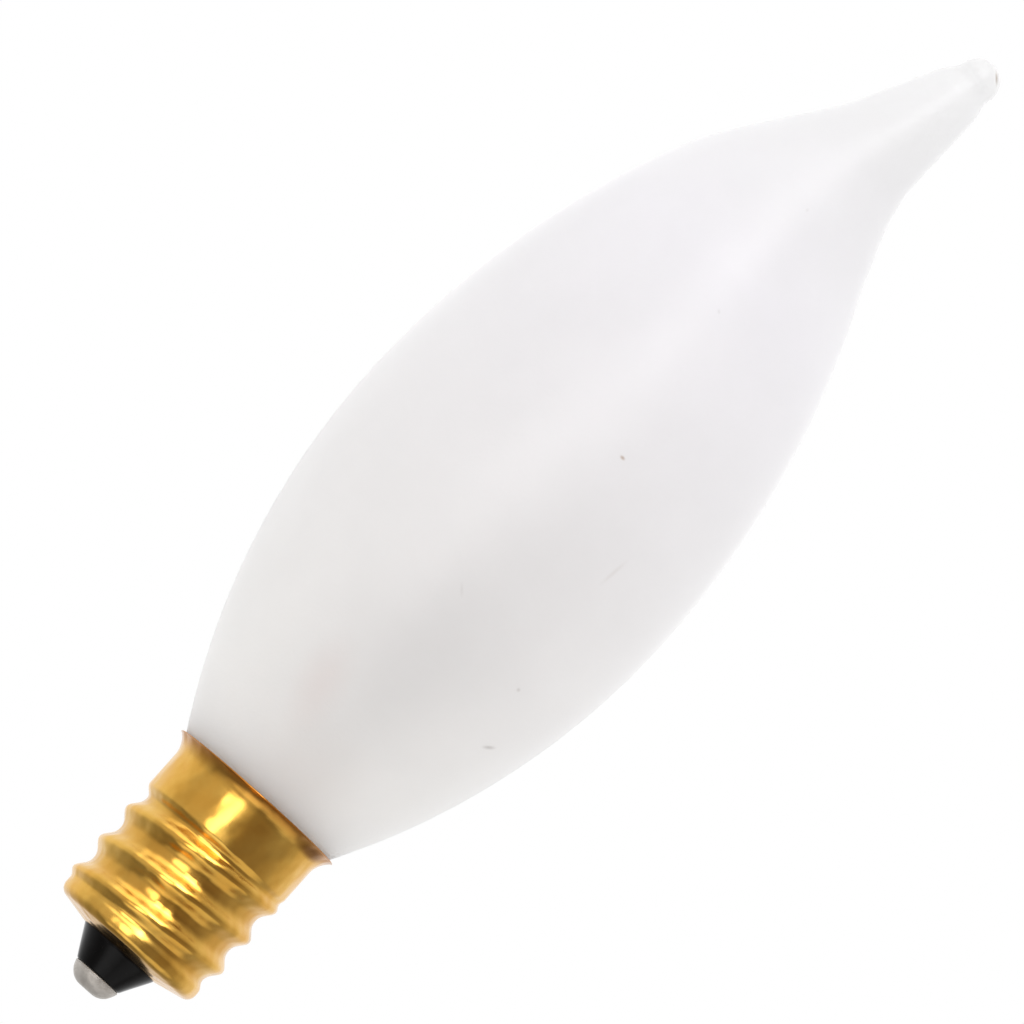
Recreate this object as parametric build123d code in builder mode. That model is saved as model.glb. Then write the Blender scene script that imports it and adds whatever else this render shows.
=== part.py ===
"""Candle bulb with a bent flame tip: a sealed, frosted glass envelope cemented into an E12 screw cap.

Millimetres. +Z runs up the bulb's axis from the cap to the tip, and the tip leans towards +X.
The origin is on the axis, at the lowest point of the centre contact. Each round piece is lofted through
circles that stand close enough together for the straight walls between them to follow its curve.
"""

import os
from math import asin, atan, cos, degrees, pi, radians, sin, sqrt, tan

from build123d import *

# Centre contact: a dome of solder over an eyelet in the insulator's end
contact_height = 1.15
contact_edge = 0.07
contact_flat_diameter = 1.0
eyelet_edge = 0.35
eyelet_thickness = 0.25
lead_hole_diameter = 1.1
solder_plug_length = 0.7

# Insulator: black glass moulded into the bottom of the screw shell
insulator_cone_height = 2.05
insulator_end_diameter = 3.6
insulator_top_diameter = 5.8
insulator_seat_height = 1.5

# Screw shell: brass sheet with a rolled E12 thread
sheet_thickness = 0.22
shell_floor_rise = 0.55
shell_corner_radius = 0.7
thread_pitch = 2.54
thread_crest_diameter = 11.6
thread_depth = 0.625
thread_length = 8.15
thread_fade_length = 0.9
thread_crest_below_collar = 0.95
collar_diameter = 11.38
collar_height = 2.3
flare_height = 1.45
flare_width = 0.81

# Glass envelope: a blown flame, upright as far as its shoulder and leaning above it
neck_length = 6.3
belly_diameter = 25.5
belly_height = 24.8
shoulder_diameter = 14.4
shoulder_height = 24.95
tip_root_diameter = 6.4
tip_root_height = 8.5
tip_waist_diameter = 4.14
tip_waist_height = 4.8
tip_lean = 14.2
tip_turn_height = 6.5
bead_diameter = 3.0
bead_height = 1.7
bead_top_angle = 70

# Side solder: a round dab over the rim at the back, where the second lead meets the shell
side_solder_diameter = 1.7
side_solder_thickness = 0.9
side_solder_chamfer = 0.3

# Fits
mouth_clearance = 0.08
neck_clearance = 0.3
insulator_clearance = 0.1
eyelet_clearance = 0.02

# Steps along each curve
contact_steps = 3
corner_steps = 2
thread_steps_per_turn = 6
flare_steps = 2
lower_flame_steps = 5
upper_flame_steps = 5
ogee_steps = 8
bead_steps = 2

# Levels, from the centre contact upwards
insulator_end_z = contact_height
shell_floor_z = insulator_end_z + insulator_cone_height
thread_start_z = shell_floor_z + shell_floor_rise + shell_corner_radius
thread_end_z = thread_start_z + thread_length
flare_z = thread_end_z + collar_height
rim_z = flare_z + flare_height
belly_z = rim_z + belly_height
shoulder_z = belly_z + shoulder_height
tip_root_z = shoulder_z + tip_root_height
tip_waist_z = tip_root_z + tip_waist_height
bead_z = tip_waist_z + bead_height

# Radii
lead_hole_radius = lead_hole_diameter / 2
insulator_end_radius = insulator_end_diameter / 2
floor_hole_radius = insulator_top_diameter / 2
crest_radius = thread_crest_diameter / 2
root_radius = crest_radius - thread_depth
thread_radius = (crest_radius + root_radius) / 2
thread_throw = thread_depth / 2
bore_radius = root_radius - sheet_thickness
collar_radius = collar_diameter / 2
rim_radius = collar_radius + flare_width
neck_radius = min(root_radius, collar_radius) - sheet_thickness - neck_clearance
belly_radius = belly_diameter / 2
shoulder_radius = shoulder_diameter / 2
tip_root_radius = tip_root_diameter / 2
tip_waist_radius = tip_waist_diameter / 2
bead_radius = bead_diameter / 2

os.makedirs("parts", exist_ok=True)


def even_steps(low, high, count):
    """`count` values, evenly spaced from one step above `low` up to `high`."""
    return [low + (high - low) * (i + 1) / count for i in range(count)]


def arc_radius(rise, drop):
    """Radius of the arc that leaves a line along it and is `drop` away from it after `rise`."""
    return (rise**2 + drop**2) / (2 * drop)


def arc_sections(centre_radius, centre_z, radius, start, end, count):
    """Sections on an arc in the half-plane of radius and height, after its start; angles are in degrees."""
    angles = [radians(a) for a in even_steps(start, end, count)]
    return [(centre_z + radius * sin(a), centre_radius + radius * cos(a)) for a in angles]


def level(sections):
    """Sections given as height and radius, as circles on the axis."""
    return [(Plane.XY.offset(z), radius) for z, radius in sections]


def stack(circles):
    """Solid lofted through circles, each given as its plane and its radius."""
    with BuildPart() as lofted:
        for plane, radius in circles:
            with BuildSketch(plane):
                Circle(radius)
        loft(ruled=True)
    return lofted.part


# Screw shell: turned-in floor, rolled thread, plain collar and flared rim. The thread is a circle whose
# centre climbs a right-hand helix, one pitch a turn. Its throw fades out at both ends.
floor_slope = shell_floor_rise / (thread_radius - floor_hole_radius)
floor_tilt = degrees(atan(floor_slope))
floor_top_z = shell_floor_z + sheet_thickness * sqrt(1 + floor_slope**2)
corner_z = shell_floor_z + shell_floor_rise + shell_corner_radius * tan(radians(45 - floor_tilt / 2))
flare_radius = arc_radius(flare_height, flare_width)
flare_centre_radius = collar_radius + flare_radius


def thread_circle(z):
    """The thread's circle at one height; over the upper fade its radius grows to the collar's."""
    fade = min(min(z - thread_start_z, thread_end_z - z) / thread_fade_length, 1)
    throw = thread_throw * sin(pi / 2 * fade) ** 2
    growth = cos(pi / 2 * min((thread_end_z - z) / thread_fade_length, 1)) ** 2
    turn = 2 * pi * (z - thread_end_z + thread_crest_below_collar) / thread_pitch
    centre = Plane((throw * cos(turn), throw * sin(turn), z))
    return centre, thread_radius + growth * (collar_radius - thread_radius)


def flare_sections(radius):
    """The flared rim's arc, outside or inside, from the collar to the rim's level."""
    end = 180 - degrees(asin(flare_height / radius))
    return arc_sections(flare_centre_radius, flare_z, radius, 180, end, flare_steps)


floor_end = floor_tilt - 90
corner_arc = (thread_radius - shell_corner_radius, corner_z, shell_corner_radius)
thread_steps = round(thread_length / thread_pitch * thread_steps_per_turn)
shell_floor = [(shell_floor_z, floor_hole_radius)] + arc_sections(*corner_arc, floor_end, floor_end, 1)
shell_corner = arc_sections(*corner_arc, floor_end, 0, corner_steps) + [(thread_start_z, thread_radius)]
shell_thread = [thread_circle(z) for z in even_steps(thread_start_z, thread_end_z, thread_steps)]
shell_rim = [(flare_z, collar_radius)] + flare_sections(flare_radius)
shell_inside = [
    (shell_floor_z, floor_hole_radius),
    (floor_top_z, floor_hole_radius),
    (floor_top_z + floor_slope * (bore_radius - floor_hole_radius), bore_radius),
    (thread_end_z - thread_fade_length, bore_radius),
    (thread_end_z, collar_radius - sheet_thickness),
    (flare_z, collar_radius - sheet_thickness),
]
shell_inside += flare_sections(flare_radius + sheet_thickness)

with BuildPart() as shell:
    add(stack(level(shell_floor + shell_corner) + shell_thread + level(shell_rim)))
    add(stack(level(shell_inside)), mode=Mode.SUBTRACT)
shell.part.label = "screw_shell"
export_step(shell.part, "parts/screw_shell.step")

# Glass envelope: neck, two arcs that meet upright at the belly, an ogee into the leaning tip, and a bead
mouth_radius = shell_inside[-1][1] - mouth_clearance
lower_arc = arc_radius(belly_height, belly_radius - mouth_radius)
upper_arc = arc_radius(shoulder_height, belly_radius - shoulder_radius)
lower_angle = degrees(asin(belly_height / lower_arc))
upper_angle = degrees(asin(shoulder_height / upper_arc))


def ogee_radius(z):
    """Radius between shoulder and tip root: a cubic with the slopes of the arc below and the taper above."""
    slope_below = -tan(radians(upper_angle))
    slope_above = (tip_waist_radius - tip_root_radius) / tip_waist_height
    t = (z - shoulder_z) / tip_root_height
    return (
        (2 * t**3 - 3 * t**2 + 1) * shoulder_radius
        + (t**3 - 2 * t**2 + t) * tip_root_height * slope_below
        + (3 * t**2 - 2 * t**3) * tip_root_radius
        + (t**3 - t**2) * tip_root_height * slope_above
    )


def flame_plane(z):
    """Plane across the glass: level up to the shoulder, then on a leaning line, turning until square to it."""
    above = max(z - shoulder_z, 0)
    lean = tan(radians(tip_lean))
    turn = lean * min(above / tip_turn_height, 1)
    return Plane((lean * above, 0, z), x_dir=(1, 0, -turn), z_dir=(turn, 0, 1))


flame = [(flare_z - neck_length, neck_radius), (flare_z, neck_radius), (rim_z, mouth_radius)]
flame += arc_sections(belly_radius - lower_arc, belly_z, lower_arc, -lower_angle, 0, lower_flame_steps)
flame += arc_sections(belly_radius - upper_arc, belly_z, upper_arc, 0, upper_angle, upper_flame_steps)
flame += [(z, ogee_radius(z)) for z in even_steps(shoulder_z, tip_root_z, ogee_steps)]
flame += [(tip_waist_z, tip_waist_radius)]
bead = [(bead_z, bead_radius)] + arc_sections(0, bead_z, bead_radius, 0, bead_top_angle, bead_steps)

with BuildPart() as envelope:
    add(stack([(flame_plane(z), radius) for z, radius in flame + bead]))
envelope.part.label = "glass_envelope"
export_step(envelope.part, "parts/glass_envelope.step")

# Insulator: a cone below the shell's floor, and a disc inside that seats on the floor
seat_radius = bore_radius - insulator_clearance
seat_edge_z = floor_top_z + floor_slope * (seat_radius - floor_hole_radius)
seat_top_z = seat_edge_z + insulator_seat_height
eyelet_pocket_radius = insulator_end_radius - eyelet_edge

insulator_outside = [
    (insulator_end_z, insulator_end_radius),
    (shell_floor_z, floor_hole_radius),
    (floor_top_z, floor_hole_radius),
    (seat_edge_z, seat_radius),
    (seat_top_z, seat_radius),
]

with BuildPart() as insulator:
    add(stack(level(insulator_outside)))
    with BuildSketch(Plane.XY.offset(insulator_end_z)):
        Circle(eyelet_pocket_radius)
    extrude(amount=eyelet_thickness, mode=Mode.SUBTRACT)
    with BuildSketch(Plane.XY.offset(insulator_end_z)):
        Circle(lead_hole_radius)
    extrude(until=Until.LAST, mode=Mode.SUBTRACT)
insulator.part.label = "insulator"
export_step(insulator.part, "parts/insulator.step")

# Contact eyelet: a flat brass ring in the insulator's end
with BuildPart() as eyelet:
    with BuildSketch(Plane.XY.offset(insulator_end_z)):
        Circle(eyelet_pocket_radius - eyelet_clearance)
        Circle(lead_hole_radius, mode=Mode.SUBTRACT)
    extrude(amount=eyelet_thickness)
eyelet.part.label = "contact_eyelet"
export_step(eyelet.part, "parts/contact_eyelet.step")

# Contact solder: a dome with a small flat, and a plug up the lead's hole
contact_flat_radius = contact_flat_diameter / 2
contact_radius = insulator_end_radius - contact_edge
dome_radius = arc_radius(contact_radius - contact_flat_radius, contact_height)
dome_end = degrees(asin((contact_height - dome_radius) / dome_radius))

with BuildPart() as contact:
    dome = arc_sections(contact_flat_radius, dome_radius, dome_radius, -90, dome_end, contact_steps)
    add(stack(level([(0, contact_flat_radius)] + dome)))
    with BuildSketch(Plane.XY.offset(contact_height)):
        Circle(lead_hole_radius - eyelet_clearance)
    extrude(amount=solder_plug_length)
contact.part.label = "contact_solder"
export_step(contact.part, "parts/contact_solder.step")

# Basing cement: fills the collar around the glass neck
with BuildPart() as cement:
    with BuildSketch(Plane.XY.offset(thread_end_z)):
        Circle(collar_radius - sheet_thickness)
        Circle(neck_radius, mode=Mode.SUBTRACT)
    extrude(amount=collar_height)
cement.part.label = "basing_cement"
export_step(cement.part, "parts/basing_cement.step")

# Side solder: chamfered outside, and cut to fit the rim and the glass
with BuildPart() as side_solder:
    with BuildSketch(Plane.XZ.offset(-rim_radius - side_solder_thickness / 2)):
        with Locations((0, rim_z)):
            Circle(side_solder_diameter / 2)
    extrude(amount=side_solder_thickness)
    chamfer(side_solder.edges().group_by(Axis.Y)[-1], side_solder_chamfer)
    add(shell.part, mode=Mode.SUBTRACT)
    add(envelope.part, mode=Mode.SUBTRACT)
side_solder.part.label = "side_solder"
export_step(side_solder.part, "parts/side_solder.step")
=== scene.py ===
"""Looks of a frosted candle bulb: an etched glass flame with a bent tip, on a rolled brass screw cap."""

from math import cos, radians, sin

import bpy
import bmesh
import numpy as np
from mathutils import Matrix, Vector


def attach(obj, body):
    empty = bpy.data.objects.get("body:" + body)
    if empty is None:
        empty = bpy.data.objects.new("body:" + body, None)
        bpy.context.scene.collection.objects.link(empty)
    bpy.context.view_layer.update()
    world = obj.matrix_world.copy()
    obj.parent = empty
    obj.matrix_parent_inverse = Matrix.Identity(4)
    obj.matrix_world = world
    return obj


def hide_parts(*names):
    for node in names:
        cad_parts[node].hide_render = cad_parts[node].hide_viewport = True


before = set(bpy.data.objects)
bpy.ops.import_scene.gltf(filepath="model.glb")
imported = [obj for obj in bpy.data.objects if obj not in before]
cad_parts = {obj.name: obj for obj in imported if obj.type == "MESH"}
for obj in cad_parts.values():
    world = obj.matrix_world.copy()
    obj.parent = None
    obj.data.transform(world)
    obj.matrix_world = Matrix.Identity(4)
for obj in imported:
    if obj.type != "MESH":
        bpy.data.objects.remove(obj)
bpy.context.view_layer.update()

MM = 0.001

# Levels up the bulb's axis from its lowest point, in millimetres, as the solids have them
CONTACT_Z = 1.15  # end of the insulator, where the solder dome starts
FLOOR_Z = 3.2
THREAD_Z = 4.45
NECK_Z = 8.6  # lower end of the glass, inside the cap
COLLAR_Z = 12.6
FLARE_Z = 14.9
RIM_Z = 16.35
BELLY_Z = 41.15
SHOULDER_Z = 66.1
TIP_Z = 74.6
WAIST_Z = 79.4
BEAD_Z = 81.1

# Radii of the glass, in millimetres, and how far it leans beyond the shoulder
MOUTH_R = 6.05
BELLY_R = 12.75
SHOULDER_R = 7.2
TIP_R = 3.2
WAIST_R = 2.07
BEAD_R = 1.5
LEAN = np.tan(radians(14.2))

# The cap, in millimetres: radii, thickness of the sheet, and the thread
LEAD_HOLE_R = 0.55
FLOOR_HOLE_R = 2.9
CREST_R = 5.8
COLLAR_R = 5.69
RIM_R = 6.5
SHEET = 0.22
PITCH = 2.54
DEPTH = 0.625
FADE = 0.9  # height over which the thread fades out
ROOT_R = CREST_R - DEPTH
MEAN_R = CREST_R - DEPTH / 2
BORE_R = ROOT_R - SHEET

# Tint of the glass by height in millimetres: painted paler by the cap against the shade it casts, and
# painted greyer towards the sealed tip against the light that passes through it there
GLASS_TINT_AND_PAINTED_LIGHT = (
    (17.0, "#fbf8f5"),
    (22.94, "#f1efed"),
    (30.2, "#eceae9"),
    (38.78, "#e9e7e7"),
    (60.56, "#e7e5e8"),
    (75.08, "#dfdedf"),
    (79.7, "#dbdadb"),
    (83.0, "#c9c8c8"),
)

# Marks on the front of the glass: x, z, length and width in millimetres, turn from upright in degrees,
# strength, colour. Specks and scratches first, then a pink tinge, a painted shade of the stem inside, a
# broad painted shade right of the middle where less light falls, and the burnt seal.
GLASS_MARKS_AND_SHADE = (
    (2.9, 46.9, 0.34, 0.55, 0, 0.6, "#a07c58"),
    (7.3, 41.3, 3.0, 0.4, 7, 0.12, "#a08c7c"),
    (8.8, 28.1, 1.3, 0.35, 52, 0.4, "#8a807a"),
    (0.9, 34.0, 1.3, 0.3, -42, 0.12, "#9a8f88"),
    (7.75, 31.9, 0.4, 0.4, 0, 0.3, "#9a8f88"),
    (1.3, 58.0, 0.5, 0.3, -42, 0.16, "#a09a98"),
    (1.2, 66.9, 0.4, 0.3, 0, 0.14, "#a09a98"),
    (-1.7, 23.8, 9.0, 4.5, -13, 0.13, "#dcb4aa"),
    # Painted shade of the stem inside, low on the front
    (1.2, 17.5, 14.0, 11.0, 4, 0.18, "#b5a294"),
    # Painted shade, broad, right of the middle, where less light falls
    (1.2, 25.0, 56.0, 19.0, 12, 0.28, "#b3b0b0"),
    (4.6, 82.0, 1.5, 0.3, -42, 0.7, "#6a5030"),
)

# Bright sheets that the brass mirrors: direction, cosine from it where the sheet starts, level, whether tall
SHEETS = (
    ((-0.3, -0.3, 0.9), 0.76, 1.4, False),
    ((0.0, -0.5, 0.86), 0.9, 2.4, False),
    ((-0.05, -0.5, -0.86), 0.9, 1.1, False),
    ((0.55, -0.2, -0.81), 0.86, 0.7, False),
    ((0.6, -0.7, -0.4), 0.6, 0.12, False),
    ((-0.45, -0.89, 0.0), 0.65, 0.45, True),
)


def smooth_step(x, low, high):
    """0 below `low`, 1 above `high`, and 3t^2 - 2t^3 between."""
    t = np.clip((x - low) / (high - low), 0, 1)
    return t * t * (3 - 2 * t)


def arc(centre, radius, start, end, count):
    """Points (radius, height) on an arc, angles in degrees from straight out."""
    a = np.radians(np.linspace(start, end, count))
    return np.stack([centre[0] + radius * np.cos(a), centre[1] + radius * np.sin(a)], 1)


def line(start, end, count):
    """Points evenly along a straight line, without its ends."""
    t = np.linspace(0, 1, count + 2)[1:-1, None]
    return np.asarray(start) * (1 - t) + np.asarray(end) * t


def bow_radius(along, aside):
    """Radius of an arc that starts along a line and, `along` further on, is `aside` off it."""
    return (along**2 + aside**2) / (2 * aside)


def round_angles(count):
    """A row of angles evenly round the axis."""
    return np.linspace(0, 2 * np.pi, count, endpoint=False)[None, :]


def turned_piece(name, profile, ring_count, closed=False, swell=None):
    """A piece from (radius, height) points carried round the axis.

    Point (i, j) is (r cos a, r sin a, z) with a = 2 pi j / ring_count. `swell` gives a length to add to r
    from (r, z, a). The profile runs up the outside, so faces look outwards, and `closed` joins its ends.
    """
    a = round_angles(ring_count)
    radius, height = (np.repeat(np.asarray(profile)[:, k, None], ring_count, 1) for k in range(2))
    if swell is not None:
        radius = radius + swell(radius, height, a)
    return grid_piece(name, np.stack([radius * np.cos(a), radius * np.sin(a), height], 2), closed)


def grid_piece(name, points, closed=False):
    """A mesh from a grid of points in millimetres, which wraps round its columns; its poles are merged."""
    merge_distance, sliver_length = 1e-7, 1e-8
    row_count, ring_count = points.shape[:2]
    rows = np.arange(row_count if closed else row_count - 1)
    i, j = np.meshgrid(rows, np.arange(ring_count), indexing="ij")
    here, above, beside = i * ring_count, (i + 1) % row_count * ring_count, (j + 1) % ring_count
    faces = np.stack([here + j, here + beside, above + beside, above + j], 2)
    mesh = bpy.data.meshes.new(name)
    mesh.from_pydata(points.reshape(-1, 3) * MM, [], faces.reshape(-1, 4))
    work = bmesh.new()
    work.from_mesh(mesh)
    bmesh.ops.remove_doubles(work, verts=work.verts, dist=merge_distance)
    bmesh.ops.dissolve_degenerate(work, edges=work.edges, dist=sliver_length)
    work.to_mesh(mesh)
    work.free()
    mesh.shade_smooth()
    piece = bpy.data.objects.new(name, mesh)
    bpy.context.scene.collection.objects.link(piece)
    return piece


def flame_radius(z):
    """Radius of the flame: two arcs that meet upright at the belly, a cubic ogee up to the tip, a taper."""
    low = bow_radius(BELLY_Z - RIM_Z, BELLY_R - MOUTH_R)
    high = bow_radius(SHOULDER_Z - BELLY_Z, BELLY_R - SHOULDER_R)
    bow = np.where(z < BELLY_Z, low, high)
    belly = BELLY_R - bow + np.sqrt(np.maximum(bow**2 - (z - BELLY_Z) ** 2, 0))
    below = -(SHOULDER_Z - BELLY_Z) / np.sqrt(high**2 - (SHOULDER_Z - BELLY_Z) ** 2)
    above = (WAIST_R - TIP_R) / (WAIST_Z - TIP_Z)
    span = TIP_Z - SHOULDER_Z
    t = (z - SHOULDER_Z) / span
    ogee = (2 * t**3 - 3 * t**2 + 1) * SHOULDER_R + (t**3 - 2 * t**2 + t) * span * below
    ogee += (3 * t**2 - 2 * t**3) * TIP_R + (t**3 - t**2) * span * above
    taper = np.interp(z, [TIP_Z, WAIST_Z, BEAD_Z], [TIP_R, WAIST_R, BEAD_R])
    return np.where(z < SHOULDER_Z, belly, np.where(z < TIP_Z, ogee, taper))


def flame_line(z):
    """Centre line x of the flame, which leans from the shoulder on, and the slope across it.

    The line bends in a parabola within 1 mm of the shoulder. The rows turn more slowly, by a smooth step,
    until they are square to it.
    """
    bend, turn_before, turn_after = 1.0, 1.3, 7.8
    above = np.clip(z - SHOULDER_Z + bend, 0, 2 * bend)
    x = LEAN * np.where(above < 2 * bend, above**2 / (4 * bend), z - SHOULDER_Z)
    return x, LEAN * smooth_step(z, SHOULDER_Z - turn_before, SHOULDER_Z + turn_after)


def glass_front(x, z):
    """y of the glass's front at (x, z), on the circle about the centre line or on the bead's ball."""
    reach = flame_radius(z) if z < BEAD_Z else np.sqrt(BEAD_R**2 - (z - BEAD_Z) ** 2)
    return -np.sqrt(max(reach**2 - (x - flame_line(z)[0]) ** 2, 0))


def glass_flame():
    """The blown envelope: neck, flame, and the bead where the tip was sealed off.

    Each row is a circle about a point c of the centre line, c + r (cos a u + sin a (0, 1, 0)), where u is
    (1, 0, -s) / sqrt(1 + s^2) and s is the slope across the line. The bead is a ball on the line's end, with
    a slight pinch below it.
    """
    neck_gap, neck_round = 0.3, 0.3
    pinch_z, pinch_width, pinch_depth = 80.55, 0.45, 0.14
    lower_rows, upper_rows, bead_rows, ring_count = 150, 110, 18, 192
    neck_r = BORE_R - neck_gap
    neck = np.concatenate([
        [[0, NECK_Z], [neck_r - neck_round, NECK_Z]],
        arc((neck_r - neck_round, NECK_Z + neck_round), neck_round, -60, 0, count=4),
        [[neck_r, FLARE_Z]],
        line((neck_r, FLARE_Z), (MOUTH_R, RIM_Z), count=8),
    ])
    lower = np.linspace(RIM_Z, SHOULDER_Z, lower_rows)
    upper = np.linspace(SHOULDER_Z, BEAD_Z, upper_rows)[1:]
    body = np.concatenate([lower, upper])
    pinch = pinch_depth * np.exp(-(((body - pinch_z) / pinch_width) ** 2))
    cap = np.radians(np.linspace(0, 90, bead_rows)[1:])
    z = np.concatenate([neck[:, 1], body, BEAD_Z + BEAD_R * np.sin(cap) / np.sqrt(1 + LEAN**2)])
    r = np.concatenate([neck[:, 0], flame_radius(body) - pinch, BEAD_R * np.cos(cap)])[:, None]
    r[-1] = 0
    x, slope = (v[:, None] for v in flame_line(z))
    tilt = np.sqrt(1 + slope**2)
    a = round_angles(ring_count)
    out = r * np.cos(a) / tilt
    return grid_piece("glass_flame", np.stack([x + out, r * np.sin(a), z[:, None] - out * slope], 2))


def thread_swell(r, z, a):
    """Rolled thread: right-hand, one turn a pitch, with crests narrower than roots, fading out at both ends.

    The swell is half the depth times cos t + k cos 2t - k, where t is the turn from a crest. k narrows it.
    """
    crest_below_collar, narrowing = 0.95, 0.14
    turn = 2 * np.pi * (z - COLLAR_Z + crest_below_collar) / PITCH - a
    fade = np.sin(np.pi / 2 * np.clip(np.minimum(z - THREAD_Z, COLLAR_Z - z) / FADE, 0, 1)) ** 2
    wave = np.cos(turn) + narrowing * np.cos(2 * turn) - narrowing
    return np.where(r > ROOT_R, DEPTH / 2 * fade * wave, 0)


def rolled_shell():
    """The screw shell: out along the floor, up thread and collar, over the flared rim and down the inside.

    The floor climbs to a rounded corner. The thread's mean radius grows to the collar's by a squared cosine,
    and the flare is an arc that leaves the collar upright.
    """
    floor_rise, corner, lip, thread_rows = 0.55, 0.7, 0.09, 220
    lip_out, lip_in = 0.55 * lip, 1.2 * lip
    slope = floor_rise / (MEAN_R - FLOOR_HOLE_R)
    tilt = np.arctan(slope)
    floor_top = FLOOR_Z + SHEET / np.cos(tilt)
    corner_z = FLOOR_Z + floor_rise + corner * np.tan(np.pi / 4 - tilt / 2)
    bend = arc((MEAN_R - corner, corner_z), corner, np.degrees(tilt) - 90, 0, count=14)
    z = np.linspace(THREAD_Z, COLLAR_Z, thread_rows)
    grow = np.cos(np.pi / 2 * np.clip((COLLAR_Z - z) / FADE, 0, 1)) ** 2
    thread = np.stack([MEAN_R + (COLLAR_R - MEAN_R) * grow, z], 1)
    flare_height = RIM_Z - FLARE_Z
    flare = bow_radius(flare_height, RIM_R - COLLAR_R)
    hub = (COLLAR_R + flare, FLARE_Z)
    outer = np.degrees(np.arcsin((flare_height - lip) / flare))
    inner = np.degrees(np.arcsin((flare_height - lip) / (flare + SHEET)))
    outside = arc(hub, flare, 180, 180 - outer, count=24)
    inside = arc(hub, flare + SHEET, 180 - inner, 180, count=16)
    profile = np.concatenate([
        [[FLOOR_HOLE_R, FLOOR_Z]],
        line((FLOOR_HOLE_R, FLOOR_Z), bend[0], count=8),
        bend,
        thread,
        line((COLLAR_R, COLLAR_Z), (COLLAR_R, FLARE_Z), count=10),
        outside,
        arc((outside[-1, 0] - lip_out, RIM_Z - lip), lip, 0, 90, count=5),
        arc((inside[0, 0] + lip_in, RIM_Z - lip), lip, 90, 170, count=5),
        inside,
        [[COLLAR_R - SHEET, COLLAR_Z], [BORE_R, COLLAR_Z - FADE]],
        [[BORE_R, floor_top + slope * (BORE_R - FLOOR_HOLE_R)], [FLOOR_HOLE_R, floor_top]],
    ])
    return turned_piece("rolled_shell", profile, ring_count=160, closed=True, swell=thread_swell)


def moulded_insulator():
    """The insulator: a cone with rounded ends below the shell, a seat inside it, and the hole for the lead.

    The cone is slightly uneven, r + 0.012 cos(3 a + 2 z) mm, as glass is that was pressed hot.
    """
    end_r, end_round = 1.62, 0.2
    cone_foot, cone_head = (1.8, 1.26), (2.86, 3.12)
    seat_gap, seat_foot, seat_head = 0.1, 3.85, 5.2
    seat_r = BORE_R - seat_gap
    uneven, uneven_from_r, uneven_to_z = 0.012, 1.0, 3.1
    profile = np.concatenate([
        [[LEAD_HOLE_R, CONTACT_Z]],
        line((LEAD_HOLE_R, CONTACT_Z), (end_r, CONTACT_Z), count=4),
        arc((end_r, CONTACT_Z + end_round), end_round, -90, -28, count=7),
        line(cone_foot, cone_head, count=24),
        [[FLOOR_HOLE_R, FLOOR_Z], [FLOOR_HOLE_R, FLOOR_Z + SHEET]],
        [[seat_r, seat_foot], [seat_r, seat_head], [LEAD_HOLE_R, seat_head]],
    ])

    def pressed(r, z, a):
        return np.where((r > uneven_from_r) & (z < uneven_to_z), uneven * np.cos(3 * a + 2 * z), 0)

    return turned_piece("moulded_insulator", profile, ring_count=96, closed=True, swell=pressed)


def contact_dome():
    """The solder on the centre contact: a dome with a small worn flat, spread unevenly, and its plug.

    The dome is an arc that leaves the flat level and reaches the rounded edge at the insulator's end. It is
    drawn in by up to 0.04 mm, most half-way up, in lumps that go two and five to a turn.
    """
    flat, edge, edge_round = 0.5, 1.73, 0.1
    plug_r, plug_z = 0.53, 1.8
    drawn_in, lumpiness = 0.02, 0.6
    bow = bow_radius(edge - flat, CONTACT_Z)
    end = np.degrees(np.arcsin((CONTACT_Z - bow) / bow))
    profile = np.concatenate([
        [[0, 0], [flat / 2, 0], [flat, 0]],
        arc((flat, bow), bow, -90, end, count=26)[1:-1],
        arc((edge - edge_round, CONTACT_Z - edge_round), edge_round, -20, 90, count=6),
        [[plug_r, CONTACT_Z], [plug_r, plug_z], [0, plug_z]],
    ])

    def spread(r, z, a):
        lump = np.cos(2 * a + 0.7) + 0.6 * np.cos(5 * a + 9 * z)
        half_way = np.sin(np.pi * np.clip(z / CONTACT_Z, 0, 1))
        return -drawn_in * (1 + lumpiness * lump) * half_way * (r > flat)

    return turned_piece("contact_dome", profile, ring_count=96, swell=spread)


def side_dab():
    """The dab of solder over the rim at the back: a low lump, sqrt(1 - d^2) high at a share d of its radius.

    It is a grid of rings about (0, RIM_R, RIM_Z), turned to face +Y, with a wavy edge. Its back is a bowl,
    1 - d^2 deep, that lies just inside the rim.
    """
    radius, height, foot, bowl = 0.8, 0.38, 0.05, 0.3
    front_rows, back_rows, ring_count = 22, 5, 64
    front_d = np.linspace(1, 0, front_rows)[:, None]
    back_d = np.linspace(0, 1, back_rows + 1)[1:, None]
    d = np.concatenate([front_d, back_d])
    rise = np.concatenate([foot + height * np.sqrt(1 - front_d**2), foot - bowl * (1 - back_d**2)])
    a = round_angles(ring_count)
    edge = radius * d * (1 + 0.05 * np.cos(3 * a + 1) + 0.03 * np.cos(5 * a))
    points = np.broadcast_arrays(-edge * np.cos(a), RIM_R + rise, RIM_Z + edge * np.sin(a))
    return grid_piece("side_dab", np.stack(points, 2))


def linear(code):
    """An sRGB hex colour as linear RGBA."""
    c = np.array([int(code[k:k + 2], 16) for k in (1, 3, 5)]) / 255
    return (*np.where(c <= 0.04045, c / 12.92, ((c + 0.055) / 1.055) ** 2.4), 1.0)


def grey(level):
    """A neutral linear RGBA of one level."""
    return (level, level, level, 1.0)


def node(tree, kind, inputs=None, **settings):
    """Adds one node with its settings; an input is a value or the socket that feeds it."""
    made = tree.nodes.new(kind)
    for key, value in settings.items():
        setattr(made, key, value)
    for key, value in (inputs or {}).items():
        if isinstance(value, bpy.types.NodeSocket):
            tree.links.new(value, made.inputs[key])
        else:
            made.inputs[key].default_value = value
    return made


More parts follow.
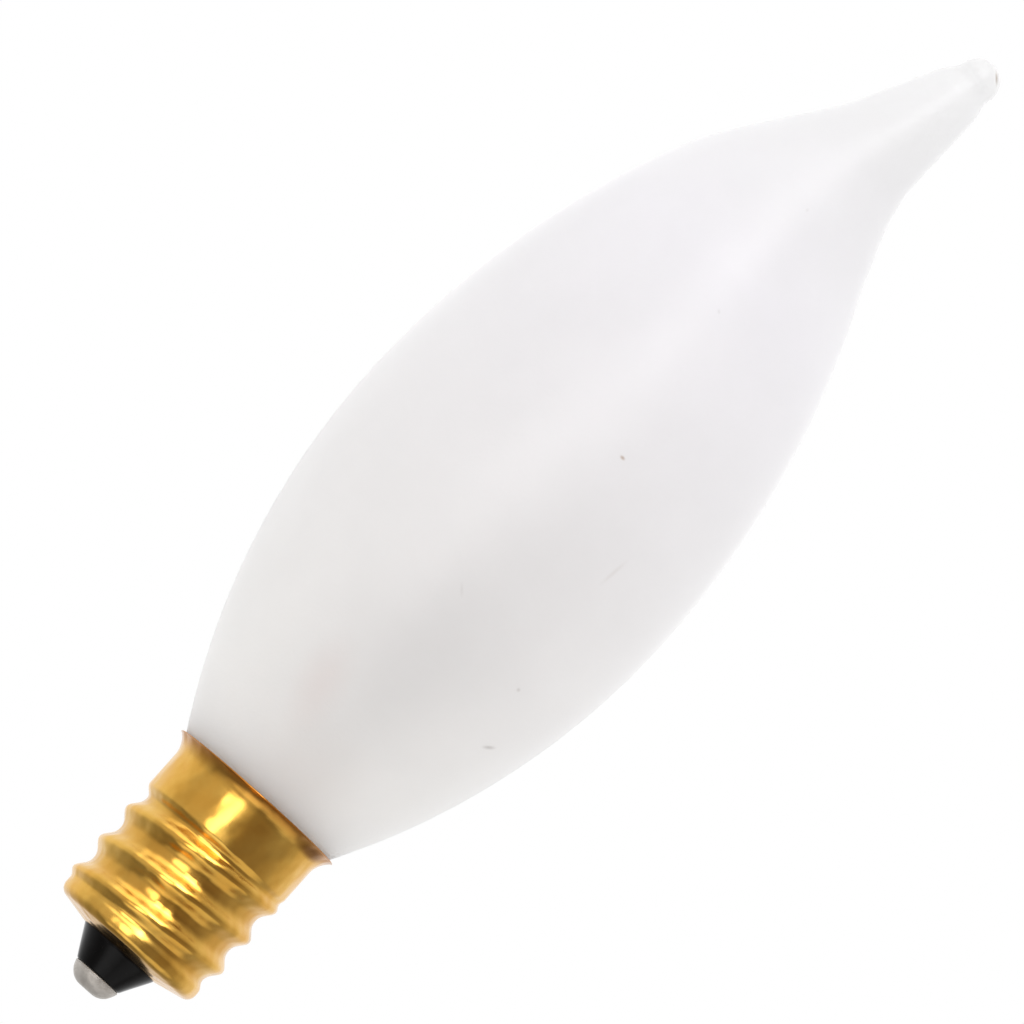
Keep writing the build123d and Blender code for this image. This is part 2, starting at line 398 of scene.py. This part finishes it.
def new_material(name):
    """An empty node material and its Principled shader."""
    material = bpy.data.materials.new(name)
    material.use_nodes = True
    tree = material.node_tree
    tree.nodes.clear()
    shader = tree.nodes.new("ShaderNodeBsdfPrincipled")
    output = tree.nodes.new("ShaderNodeOutputMaterial")
    tree.links.new(shader.outputs["BSDF"], output.inputs["Surface"])
    return material, tree, shader


def etched_glass():
    """Soda-lime glass etched white: milky, so that light spreads through it, with a satin skin.

    Its tint is painted paler by the cap, against the shade the cap casts, and greyer towards the sealed tip,
    against the light that passes through it there, and it is faintly cloudy. Each mark on its front is an
    ellipse that fades from its middle; two of them are painted shade. The grain of the etch is drawn coarser
    than it is, to show.
    """
    cloud_size, grain_size, grain_depth, spread = 11 * MM, 0.25 * MM, 0.1 * MM, 11 * MM
    material, tree, shader = new_material("etched_soda_lime_glass")
    place = node(tree, "ShaderNodeTexCoord").outputs["Object"]
    height = node(tree, "ShaderNodeSeparateXYZ", {"Vector": place}).outputs["Z"]
    # The ramp is the glass's tint with painted light and shade by height
    (low, low_code), *between, (high, high_code) = GLASS_TINT_AND_PAINTED_LIGHT
    along = node(tree, "ShaderNodeMapRange", {"Value": height, "From Min": low * MM, "From Max": high * MM})
    tint = node(tree, "ShaderNodeValToRGB", {"Fac": along.outputs["Result"]})
    tint.color_ramp.elements[0].color = linear(low_code)
    tint.color_ramp.elements[1].color = linear(high_code)
    for z, code in between:
        tint.color_ramp.elements.new((z - low) / (high - low)).color = linear(code)
    cloud = node(tree, "ShaderNodeTexNoise", {
        "Vector": place, "Scale": 1 / cloud_size, "Detail": 3.0, "Roughness": 0.6,
    })
    shade = node(tree, "ShaderNodeMapRange", {
        "Value": cloud.outputs["Fac"], "From Min": 0.3, "From Max": 0.7, "To Min": 0.96,
    })
    colour = node(tree, "ShaderNodeMix", {
        0: 1.0, 6: tint.outputs["Color"], 7: shade.outputs["Result"],
    }, data_type="RGBA", blend_type="MULTIPLY").outputs[2]
    # Real marks, and painted shade where the list has it
    for x, z, length, width, turn, strength, code in GLASS_MARKS_AND_SHADE:
        own = node(tree, "ShaderNodeMapping", {
            "Vector": place, "Location": (x * MM, glass_front(x, z) * MM, z * MM),
            "Rotation": (0.0, radians(turn), 0.0), "Scale": (width / 2 * MM, length * MM, length / 2 * MM),
        }, vector_type="TEXTURE")
        off = node(tree, "ShaderNodeVectorMath", {0: own.outputs["Vector"]}, operation="LENGTH")
        mark = node(tree, "ShaderNodeMapRange", {
            "Value": off.outputs["Value"], "From Min": 1.0, "From Max": 0.0, "To Max": strength,
        }, interpolation_type="SMOOTHSTEP")
        colour = node(tree, "ShaderNodeMix", {
            0: mark.outputs["Result"], 6: colour, 7: linear(code),
        }, data_type="RGBA").outputs[2]
    tree.links.new(colour, shader.inputs["Base Color"])
    grain = node(tree, "ShaderNodeTexNoise", {"Vector": place, "Scale": 1 / grain_size, "Detail": 2.0})
    bump = node(tree, "ShaderNodeBump", {
        "Height": grain.outputs["Fac"], "Strength": 0.08, "Distance": grain_depth,
    })
    tree.links.new(bump.outputs["Normal"], shader.inputs["Normal"])
    shader.inputs["Roughness"].default_value = 0.43
    shader.inputs["IOR"].default_value = 1.5
    shader.inputs["Sheen Weight"].default_value = 0.55
    shader.inputs["Sheen Roughness"].default_value = 0.4
    shader.inputs["Subsurface Weight"].default_value = 1.0
    shader.inputs["Subsurface Radius"].default_value = (spread, spread, spread)
    shader.inputs["Subsurface Scale"].default_value = 1.0
    return material


def rolled_brass():
    """Bright brass sheet, drawn and rolled: fine lines round the axis and shallow dents from the rolls.

    It is duller where it has tarnished, and browner towards the rim, which was heated when the cement was
    baked. Painted shade darkens the roots of the thread, and a painted dark reflection lies on the flare at
    one place. The lines are drawn coarser than they are, 14 to 2 mm, so that they show.
    """
    tarnish_size, dent_size, dent_depth = 3 * MM, 1.7 * MM, 0.3 * MM
    line_length, lines_to_length, line_depth = 2 * MM, 14.0, 0.05 * MM
    heat_low, heat_high = 15.2 * MM, 16.4 * MM
    # Radii between which the roots of the thread get painted shade
    root_shade_out, root_shade_in = 5.45 * MM, 5.18 * MM
    # Place, sizes and squash of a painted dark reflection on the flare
    reflection_place, reflection_out, reflection_in = (5.0 * MM, -3.4 * MM, 15.8 * MM), 2.2 * MM, 0.6 * MM
    reflection_flatness = (1.0, 1.0, 4.0)
    material, tree, shader = new_material("rolled_brass_sheet")
    place = node(tree, "ShaderNodeTexCoord").outputs["Object"]
    tarnish = node(tree, "ShaderNodeTexNoise", {
        "Vector": place, "Scale": 1 / tarnish_size, "Detail": 4.0, "Roughness": 0.6,
    })
    tint = node(tree, "ShaderNodeValToRGB", {"Fac": tarnish.outputs["Fac"]})
    dark, bright = tint.color_ramp.elements
    dark.position, dark.color = 0.35, linear("#d6a246")
    bright.position, bright.color = 0.7, linear("#e0b458")
    height = node(tree, "ShaderNodeSeparateXYZ", {"Vector": place}).outputs["Z"]
    heated = node(tree, "ShaderNodeMapRange", {
        "Value": height, "From Min": heat_low, "From Max": heat_high, "To Max": 0.8,
    }, interpolation_type="SMOOTHSTEP")
    colour = node(tree, "ShaderNodeMix", {
        0: heated.outputs["Result"], 6: tint.outputs["Color"], 7: linear("#a9682b"),
    }, data_type="RGBA").outputs[2]
    flat = node(tree, "ShaderNodeVectorMath", {0: place, 1: (1.0, 1.0, 0.0)}, operation="MULTIPLY")
    out = node(tree, "ShaderNodeVectorMath", {0: flat.outputs["Vector"]}, operation="LENGTH")
    # Painted shade: darker and browner towards the roots of the thread
    root_shade = node(tree, "ShaderNodeMapRange", {
        "Value": out.outputs["Value"], "From Min": root_shade_out, "From Max": root_shade_in, "To Max": 0.2,
    }, interpolation_type="SMOOTHSTEP")
    colour = node(tree, "ShaderNodeMix", {
        0: root_shade.outputs["Result"], 6: colour, 7: linear("#9a6526"),
    }, data_type="RGBA").outputs[2]
    # Painted dark reflection on the flare, at the right of the front
    off = node(tree, "ShaderNodeVectorMath", {0: place, 1: reflection_place}, operation="SUBTRACT")
    long = node(tree, "ShaderNodeVectorMath", {
        0: off.outputs["Vector"], 1: reflection_flatness,
    }, operation="MULTIPLY")
    far = node(tree, "ShaderNodeVectorMath", {0: long.outputs["Vector"]}, operation="LENGTH")
    dark_reflection = node(tree, "ShaderNodeMapRange", {
        "Value": far.outputs["Value"], "From Min": reflection_out, "From Max": reflection_in, "To Max": 0.8,
    }, interpolation_type="SMOOTHSTEP")
    colour = node(tree, "ShaderNodeMix", {
        0: dark_reflection.outputs["Result"], 6: colour, 7: linear("#74481f"),
    }, data_type="RGBA").outputs[2]
    tree.links.new(colour, shader.inputs["Base Color"])
    dull = node(tree, "ShaderNodeMapRange", {
        "Value": tarnish.outputs["Fac"], "To Min": 0.12, "To Max": 0.28,
    })
    tree.links.new(dull.outputs["Result"], shader.inputs["Roughness"])
    ring = node(tree, "ShaderNodeMapping", {"Vector": place, "Scale": (1.0, 1.0, lines_to_length)})
    lines = node(tree, "ShaderNodeTexNoise", {
        "Vector": ring.outputs["Vector"], "Scale": 1 / line_length, "Detail": 3.0,
    })
    dents = node(tree, "ShaderNodeTexNoise", {"Vector": place, "Scale": 1 / dent_size, "Detail": 1.0})
    bump = node(tree, "ShaderNodeBump", {
        "Height": lines.outputs["Fac"], "Strength": 0.12, "Distance": line_depth,
    })
    bump = node(tree, "ShaderNodeBump", {
        "Height": dents.outputs["Fac"], "Strength": 0.5, "Distance": dent_depth,
        "Normal": bump.outputs["Normal"],
    })
    tree.links.new(bump.outputs["Normal"], shader.inputs["Normal"])
    shader.inputs["Metallic"].default_value = 1.0
    return material


def black_glass():
    """Black glass moulded hot into the shell: glossy, with the faint ripple of a chilled surface."""
    ripple_size, ripple_depth = 1.2 * MM, 0.1 * MM
    material, tree, shader = new_material("moulded_black_glass")
    place = node(tree, "ShaderNodeTexCoord").outputs["Object"]
    ripple = node(tree, "ShaderNodeTexNoise", {"Vector": place, "Scale": 1 / ripple_size, "Detail": 2.0})
    tint = node(tree, "ShaderNodeValToRGB", {"Fac": ripple.outputs["Fac"]})
    tint.color_ramp.elements[0].color = linear("#050505")
    tint.color_ramp.elements[1].color = linear("#0d0c0c")
    tree.links.new(tint.outputs["Color"], shader.inputs["Base Color"])
    bump = node(tree, "ShaderNodeBump", {
        "Height": ripple.outputs["Fac"], "Strength": 0.15, "Distance": ripple_depth,
    })
    tree.links.new(bump.outputs["Normal"], shader.inputs["Normal"])
    shader.inputs["Roughness"].default_value = 0.12
    shader.inputs["IOR"].default_value = 1.55
    shader.inputs["Specular IOR Level"].default_value = 0.1
    return material


def tin_solder():
    """Tin solder, cooled in air: grey, satin and slightly lumpy.

    Its frosty grain is drawn coarser than it is, so that it shows.
    """
    grain_size, grain_depth = 0.6 * MM, 0.2 * MM
    material, tree, shader = new_material("tin_solder")
    place = node(tree, "ShaderNodeTexCoord").outputs["Object"]
    grain = node(tree, "ShaderNodeTexNoise", {"Vector": place, "Scale": 1 / grain_size, "Detail": 4.0})
    tint = node(tree, "ShaderNodeValToRGB", {"Fac": grain.outputs["Fac"]})
    tint.color_ramp.elements[0].color = linear("#a49e97")
    tint.color_ramp.elements[1].color = linear("#d2cdc6")
    tree.links.new(tint.outputs["Color"], shader.inputs["Base Color"])
    dull = node(tree, "ShaderNodeMapRange", {"Value": grain.outputs["Fac"], "To Min": 0.34, "To Max": 0.5})
    tree.links.new(dull.outputs["Result"], shader.inputs["Roughness"])
    bump = node(tree, "ShaderNodeBump", {
        "Height": grain.outputs["Fac"], "Strength": 0.4, "Distance": grain_depth,
    })
    tree.links.new(bump.outputs["Normal"], shader.inputs["Normal"])
    shader.inputs["Metallic"].default_value = 0.6
    return material


def baked_cement():
    """Basing cement, baked: matt and buff, with a sandy filler of about 0.4 mm."""
    sand_size = 0.4 * MM
    material, tree, shader = new_material("baked_basing_cement")
    place = node(tree, "ShaderNodeTexCoord").outputs["Object"]
    sand = node(tree, "ShaderNodeTexNoise", {"Vector": place, "Scale": 1 / sand_size, "Detail": 3.0})
    tint = node(tree, "ShaderNodeValToRGB", {"Fac": sand.outputs["Fac"]})
    tint.color_ramp.elements[0].color = linear("#b59a6c")
    tint.color_ramp.elements[1].color = linear("#dccba2")
    tree.links.new(tint.outputs["Color"], shader.inputs["Base Color"])
    shader.inputs["Roughness"].default_value = 0.85
    return material


glass, brass, black = etched_glass(), rolled_brass(), black_glass()
solder, cement = tin_solder(), baked_cement()

for made, stands_for, slot, finish in (
    (glass_flame(), "glass_envelope", "frosted_glass", glass),
    (rolled_shell(), "screw_shell", "brass", brass),
    (moulded_insulator(), "insulator", "black_glass", black),
    (contact_dome(), "contact_solder", "solder", solder),
    (side_dab(), "side_solder", "solder", solder),
):
    made.data.materials.append(finish)
    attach(made, "root")
    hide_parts(stands_for)

for name, finish in (("contact_eyelet", brass), ("basing_cement", cement)):
    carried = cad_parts[name].data
    carried.materials.clear()
    carried.materials.append(finish)


def studio():
    """The room: white to the camera, and for plain light brighter behind the bulb than before it.

    What brass and glass mirror is a warm backdrop, bright behind, dim in front and dimmer below, with a tall
    bright strip in front that fades downwards, and the sheets.
    """
    upwards = (0.0, 0.0, 1.0)
    plain_aim, plain_span, plain_front, plain_behind = (-0.1, 0.75, 0.05), (-0.8, 0.15), 0.5, 1.08
    backdrop_aim, backdrop_span = (-0.2, 0.9, 0.1), (-0.95, 0.75)
    backdrop_front, backdrop_behind = (0.18, 0.14, 0.11, 1.0), 1.15
    backdrop_fall, backdrop_below = (-0.9, -0.1), 0.4
    strip_aim, strip_edge, strip_level, strip_stretch = (-0.27, -0.963, 0.0), 0.97, 3.6, (1.0, 1.0, 0.3)
    strip_fall, strip_below = (-0.6, 0.0), 0.45
    world = bpy.data.worlds.new("studio")
    bpy.context.scene.world = world
    world.use_nodes = True
    tree = world.node_tree
    tree.nodes.clear()
    towards = node(tree, "ShaderNodeTexCoord").outputs["Generated"]
    seen = node(tree, "ShaderNodeLightPath").outputs

    def nearing(aim, low, high, most=1.0, least=0.0, direction=towards):
        """`least` to `most` as a direction turns towards `aim`, by the dot product of the two."""
        facing = node(tree, "ShaderNodeVectorMath", {0: direction, 1: aim}, operation="DOT_PRODUCT")
        return node(tree, "ShaderNodeMapRange", {
            "Value": facing.outputs["Value"],
            "From Min": low, "From Max": high, "To Min": least, "To Max": most,
        }, interpolation_type="SMOOTHSTEP").outputs["Result"]

    lit = node(tree, "ShaderNodeMix", {
        0: nearing(plain_aim, *plain_span), 6: grey(plain_front), 7: grey(plain_behind),
    }, data_type="RGBA").outputs[2]
    backdrop = node(tree, "ShaderNodeMix", {
        0: nearing(backdrop_aim, *backdrop_span), 6: backdrop_front, 7: grey(backdrop_behind),
    }, data_type="RGBA").outputs[2]
    backdrop = node(tree, "ShaderNodeMix", {
        0: 1.0, 6: backdrop, 7: nearing(upwards, *backdrop_fall, least=backdrop_below),
    }, data_type="RGBA", blend_type="MULTIPLY").outputs[2]
    tall = node(tree, "ShaderNodeVectorMath", {0: towards, 1: strip_stretch}, operation="MULTIPLY")
    tall = node(tree, "ShaderNodeVectorMath", {0: tall.outputs["Vector"]}, operation="NORMALIZE")
    tall = tall.outputs["Vector"]
    lamps = node(tree, "ShaderNodeMath", {
        0: nearing(strip_aim, strip_edge, 1.0, strip_level, direction=tall),
        1: nearing(upwards, *strip_fall, least=strip_below),
    }, operation="MULTIPLY").outputs[0]
    for aim, edge, level, is_tall in SHEETS:
        sheet = nearing(aim, edge, 1.0, level, direction=tall if is_tall else towards)
        lamps = node(tree, "ShaderNodeMath", {0: lamps, 1: sheet}).outputs[0]
    shown = node(tree, "ShaderNodeMix", {
        0: 1.0, 6: backdrop, 7: lamps,
    }, data_type="RGBA", blend_type="ADD").outputs[2]
    mirrored = node(tree, "ShaderNodeMath", {
        0: seen["Is Glossy Ray"], 1: seen["Is Transmission Ray"],
    }, use_clamp=True)
    room = node(tree, "ShaderNodeMix", {
        0: mirrored.outputs[0], 6: lit, 7: shown,
    }, data_type="RGBA").outputs[2]
    colour = node(tree, "ShaderNodeMix", {
        0: seen["Is Camera Ray"], 6: room, 7: linear("#ffffff"),
    }, data_type="RGBA")
    light = node(tree, "ShaderNodeBackground", {"Color": colour.outputs[2], "Strength": 1.0})
    node(tree, "ShaderNodeOutputWorld", {"Surface": light.outputs["Background"]})


def key_lamp():
    """A tall soft box before the bulb and above it, a little to the right, that faces the bulb's middle."""
    aside, lift, reach, middle = radians(3), radians(36), 0.75, Vector((0, 0, 0.04))
    away = Vector((sin(aside) * cos(lift), -cos(aside) * cos(lift), sin(lift)))
    lamp = bpy.data.lights.new("key", "AREA")
    lamp.shape = "RECTANGLE"
    lamp.size = 0.16
    lamp.size_y = 0.6
    lamp.energy = 1.75
    made = bpy.data.objects.new("key", lamp)
    bpy.context.scene.collection.objects.link(made)
    made.location = middle + reach * away
    made.rotation_euler = (-away).to_track_quat("-Z", "Y").to_euler()
    made.visible_camera = False


def floor():
    """A plain pale floor a little below the bulb: a square grid, in metres."""
    half_width, drop, cell_count = 0.8, 0.02, 8
    steps = np.linspace(-half_width, half_width, cell_count + 1)
    x, y = np.meshgrid(steps, steps)
    points = np.stack([x, y, np.full_like(x, -drop)], 2).reshape(-1, 3)
    i, j = np.meshgrid(np.arange(cell_count), np.arange(cell_count), indexing="ij")
    first = i * (cell_count + 1) + j
    above = first + cell_count + 1
    mesh = bpy.data.meshes.new("floor")
    mesh.from_pydata(points, [], np.stack([first, first + 1, above + 1, above], 2).reshape(-1, 4))
    made = bpy.data.objects.new("floor", mesh)
    bpy.context.scene.collection.objects.link(made)
    material, tree, shader = new_material("pale_floor")
    shader.inputs["Base Color"].default_value = linear("#e4e4e4")
    shader.inputs["Roughness"].default_value = 0.7
    mesh.materials.append(material)
    made.visible_glossy = False


def camera():
    """Nearly square to the bulb's axis, a little from the cap's end, and rolled so that the axis slants."""
    tilt, climb, reach, middle = radians(4.4), radians(48.2), 0.7240, Vector((0, 0, 0.04067))
    ahead = Vector((0, cos(tilt), sin(tilt)))
    along = Vector((0, -sin(tilt), cos(tilt)))
    across = Vector((1, 0, 0))
    right = cos(climb) * along + sin(climb) * across
    up = sin(climb) * along - cos(climb) * across
    view = bpy.data.cameras.new("camera")
    view.lens = 400.0
    view.sensor_width = 36.0
    view.clip_start = 0.01
    view.clip_end = 20.0
    made = bpy.data.objects.new("camera", view)
    turned = Matrix((right, up, -ahead)).transposed().to_4x4()
    made.matrix_world = Matrix.Translation(middle - reach * ahead) @ turned
    bpy.context.scene.collection.objects.link(made)
    bpy.context.scene.camera = made


studio()
floor()
key_lamp()
camera()
bpy.context.scene.view_settings.view_transform = "Standard"
